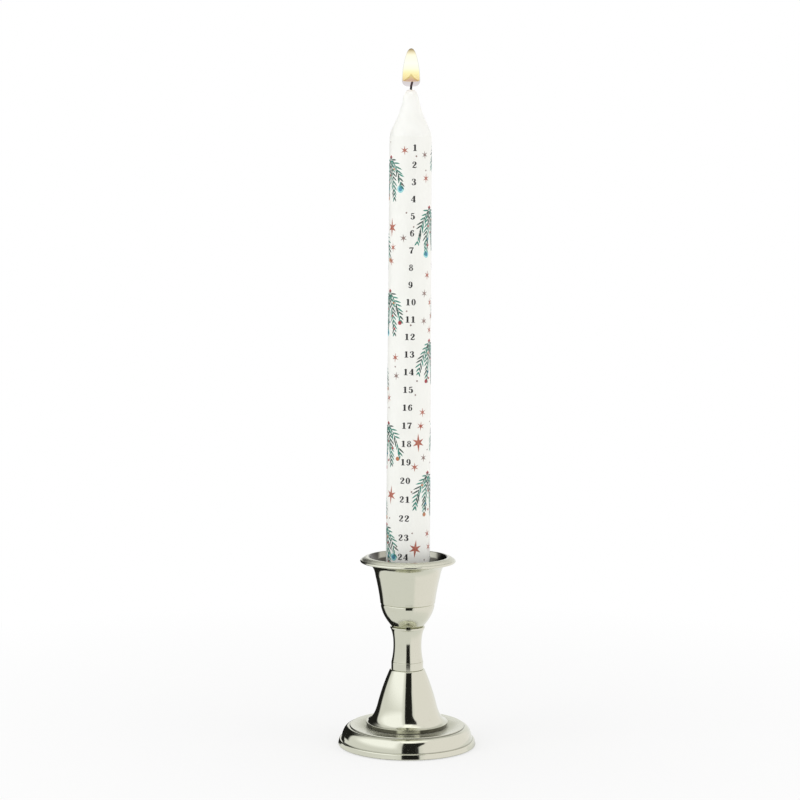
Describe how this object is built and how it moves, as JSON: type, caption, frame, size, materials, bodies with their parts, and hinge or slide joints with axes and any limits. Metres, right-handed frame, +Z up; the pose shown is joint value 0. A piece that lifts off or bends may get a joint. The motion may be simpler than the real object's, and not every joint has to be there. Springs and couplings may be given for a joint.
{
  "type": "calendar candle in a candlestick",
  "caption": "Lit dinner candle with numbered day marks down its front, standing in a polished metal candlestick whose drip cup turns and whose socket lets the candle lift out.",
  "frame": {"origin": "on the table, at the centre of the felt under the foot", "axes": "+Z up along the candle's axis; the column of numbers faces -Y, and +X is to the reader's right"},
  "size_m": [0.0708, 0.0708, 0.3551],
  "materials": {
    "nickel": "polished",
    "candle_wax": "satin",
    "printed_film": "satin",
    "black_ink": "satin",
    "green_ink": "satin",
    "red_ink": "satin",
    "blue_ink": "satin",
    "orange_ink": "satin",
    "brown_ink": "satin",
    "burnt_cotton": "matte",
    "flame": "gloss",
    "felt": "matte",
    "backing_board": "matte",
    "plated_steel": "satin",
    "cast_iron": "matte"
  },
  "bodies": {
    "holder": {"felt_pad": "felt", "backing_disc": "backing_board", "cast_weight": "cast_iron", "foot": "nickel", "bell": "nickel", "collar": "nickel", "spool": "nickel", "bowl": "nickel", "tie_bolt": "plated_steel", "plain_washer": "plated_steel", "spring_washer": "plated_steel", "lock_nut": "plated_steel"},
    "nozzle": {"nozzle": "nickel"},
    "candle": {"wax_core": "candle_wax", "dipped_coat": "candle_wax", "printed_film": "printed_film", "wick": "burnt_cotton", "flame": "flame"}
  },
  "joints": [
    {"name": "nozzle_turn", "type": "hinge", "parent": "holder", "child": "nozzle", "pos_m": [0, 0, 0.072], "axis": [0, 0, 1], "continuous": true},
    {"name": "candle_lift", "type": "slide", "parent": "nozzle", "child": "candle", "axis": [0, 0, 1], "range_m": [0, 0.03]}
  ]
}
